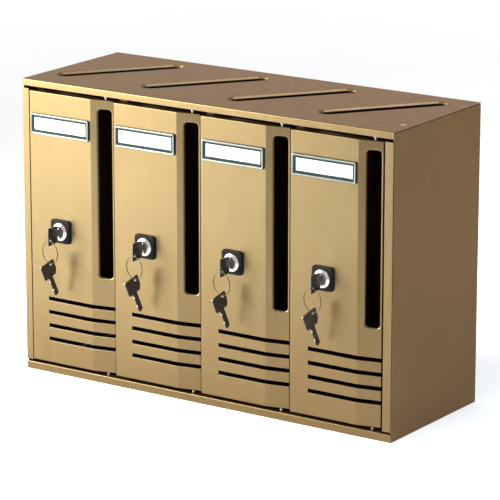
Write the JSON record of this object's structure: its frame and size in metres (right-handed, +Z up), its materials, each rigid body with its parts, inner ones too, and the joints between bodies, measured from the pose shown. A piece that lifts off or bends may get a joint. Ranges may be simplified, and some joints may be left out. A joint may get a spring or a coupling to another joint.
{
  "type": "cluster mailbox unit",
  "caption": "Wall-mounted bank of tall letter boxes in one folded sheet-metal casing; each has a hinged locking door, a front and a top mail slot, louvres and a name plate.",
  "frame": {"origin": "centre of the casing's bottom face", "axes": "+X along the row of doors (left to right seen from the front), +Y from the doors to the back, +Z up"},
  "size_m": [0.49, 0.2159, 0.34],
  "materials": {
    "gold_paint": "metallic bronze-gold baked enamel, satin, fine grain",
    "zinc_steel": "bright zinc-plated steel",
    "nickel": "polished nickel plate",
    "key_metal": "dark nickel-plated key blank with bright cut edges",
    "black_plastic": "black moulded plastic, satin",
    "plate_plastic": "silver-grey translucent plastic",
    "label_paper": "blank white card"
  },
  "bodies": {
    "casing": {"top_panel": "gold_paint", "bottom_panel": "gold_paint", "side_panel_left": "gold_paint", "side_panel_right": "gold_paint", "back_panel": "gold_paint", "partition_1": "gold_paint", "partition_2": "gold_paint", "partition_3": "gold_paint", "hinge_pin_top_1": "zinc_steel", "hinge_pin_bottom_1": "zinc_steel", "hinge_pin_top_2": "zinc_steel", "hinge_pin_bottom_2": "zinc_steel", "hinge_pin_top_3": "zinc_steel", "hinge_pin_bottom_3": "zinc_steel", "hinge_pin_top_4": "zinc_steel", "hinge_pin_bottom_4": "zinc_steel"},
    "door_1_body": {"door_1": "gold_paint", "name_frame_1": "plate_plastic", "name_label_1": "label_paper", "escutcheon_1": "black_plastic", "lock_body_1": "nickel", "lock_nut_1": "zinc_steel"},
    "lock_1_core": {"lock_plug_1": "nickel", "lock_cam_1": "zinc_steel"},
    "key_1_body": {"key_1": "key_metal"},
    "ring_1_body": {"key_ring_1": "nickel"},
    "spare_1_body": {"spare_key_1": "key_metal"},
    "door_2_body": {"door_2": "gold_paint", "name_frame_2": "plate_plastic", "name_label_2": "label_paper", "escutcheon_2": "black_plastic", "lock_body_2": "nickel", "lock_nut_2": "zinc_steel"},
    "lock_2_core": {"lock_plug_2": "nickel", "lock_cam_2": "zinc_steel"},
    "key_2_body": {"key_2": "key_metal"},
    "ring_2_body": {"key_ring_2": "nickel"},
    "spare_2_body": {"spare_key_2": "key_metal"},
    "door_3_body": {"door_3": "gold_paint", "name_frame_3": "plate_plastic", "name_label_3": "label_paper", "escutcheon_3": "black_plastic", "lock_body_3": "nickel", "lock_nut_3": "zinc_steel"},
    "lock_3_core": {"lock_plug_3": "nickel", "lock_cam_3": "zinc_steel"},
    "key_3_body": {"key_3": "key_metal"},
    "ring_3_body": {"key_ring_3": "nickel"},
    "spare_3_body": {"spare_key_3": "key_metal"},
    "door_4_body": {"door_4": "gold_paint", "name_frame_4": "plate_plastic", "name_label_4": "label_paper", "escutcheon_4": "black_plastic", "lock_body_4": "nickel", "lock_nut_4": "zinc_steel"},
    "lock_4_core": {"lock_plug_4": "nickel", "lock_cam_4": "zinc_steel"},
    "key_4_body": {"key_4": "key_metal"},
    "ring_4_body": {"key_ring_4": "nickel"},
    "spare_4_body": {"spare_key_4": "key_metal"}
  },
  "joints": [
    {"name": "door_hinge_1", "type": "hinge", "parent": "casing", "child": "door_1_body", "pos_m": [-0.133, -0.0825, 0.17], "axis": [0, 0, 1], "range_deg": [0, 100]},
    {"name": "lock_turn_1", "type": "hinge", "parent": "door_1_body", "child": "lock_1_core", "pos_m": [-0.1925, -0.09, 0.1698], "axis": [0, 1, 0], "range_deg": [0, 90]},
    {"name": "key_slide_1", "type": "slide", "parent": "lock_1_core", "child": "key_1_body", "axis": [0, -1, 0], "range_m": [0, 0.025]},
    {"name": "ring_swing_1", "type": "hinge", "parent": "key_1_body", "child": "ring_1_body", "pos_m": [-0.1925, -0.1115, 0.1636], "axis": [-1, 0, 0], "range_deg": [-6, 100]},
    {"name": "spare_swing_1", "type": "hinge", "parent": "ring_1_body", "child": "spare_1_body", "pos_m": [-0.1925, -0.1115, 0.137], "axis": [-0.9744, 0.225, 0], "range_deg": [-6, 60]},
    {"name": "door_hinge_2", "type": "hinge", "parent": "casing", "child": "door_2_body", "pos_m": [-0.0157, -0.0825, 0.17], "axis": [0, 0, 1], "range_deg": [0, 100]},
    {"name": "lock_turn_2", "type": "hinge", "parent": "door_2_body", "child": "lock_2_core", "pos_m": [-0.0752, -0.09, 0.1698], "axis": [0, 1, 0], "range_deg": [0, 90]},
    {"name": "key_slide_2", "type": "slide", "parent": "lock_2_core", "child": "key_2_body", "axis": [0, -1, 0], "range_m": [0, 0.025]},
    {"name": "ring_swing_2", "type": "hinge", "parent": "key_2_body", "child": "ring_2_body", "pos_m": [-0.0752, -0.1115, 0.1636], "axis": [-1, 0, 0], "range_deg": [-6, 100]},
    {"name": "spare_swing_2", "type": "hinge", "parent": "ring_2_body", "child": "spare_2_body", "pos_m": [-0.0752, -0.1115, 0.137], "axis": [-0.9744, 0.225, 0], "range_deg": [-6, 60]},
    {"name": "door_hinge_3", "type": "hinge", "parent": "casing", "child": "door_3_body", "pos_m": [0.1016, -0.0825, 0.17], "axis": [0, 0, 1], "range_deg": [0, 100]},
    {"name": "lock_turn_3", "type": "hinge", "parent": "door_3_body", "child": "lock_3_core", "pos_m": [0.0421, -0.09, 0.1698], "axis": [0, 1, 0], "range_deg": [0, 90]},
    {"name": "key_slide_3", "type": "slide", "parent": "lock_3_core", "child": "key_3_body", "axis": [0, -1, 0], "range_m": [0, 0.025]},
    {"name": "ring_swing_3", "type": "hinge", "parent": "key_3_body", "child": "ring_3_body", "pos_m": [0.0421, -0.1115, 0.1636], "axis": [-1, 0, 0], "range_deg": [-6, 100]},
    {"name": "spare_swing_3", "type": "hinge", "parent": "ring_3_body", "child": "spare_3_body", "pos_m": [0.0421, -0.1115, 0.137], "axis": [-0.9744, 0.225, 0], "range_deg": [-6, 60]},
    {"name": "door_hinge_4", "type": "hinge", "parent": "casing", "child": "door_4_body", "pos_m": [0.2189, -0.0825, 0.17], "axis": [0, 0, 1], "range_deg": [0, 100]},
    {"name": "lock_turn_4", "type": "hinge", "parent": "door_4_body", "child": "lock_4_core", "pos_m": [0.1594, -0.09, 0.1698], "axis": [0, 1, 0], "range_deg": [0, 90]},
    {"name": "key_slide_4", "type": "slide", "parent": "lock_4_core", "child": "key_4_body", "axis": [0, -1, 0], "range_m": [0, 0.025]},
    {"name": "ring_swing_4", "type": "hinge", "parent": "key_4_body", "child": "ring_4_body", "pos_m": [0.1594, -0.1115, 0.1636], "axis": [-1, 0, 0], "range_deg": [-6, 100]},
    {"name": "spare_swing_4", "type": "hinge", "parent": "ring_4_body", "child": "spare_4_body", "pos_m": [0.1594, -0.1115, 0.137], "axis": [-0.9744, 0.225, 0], "range_deg": [-6, 60]}
  ]
}
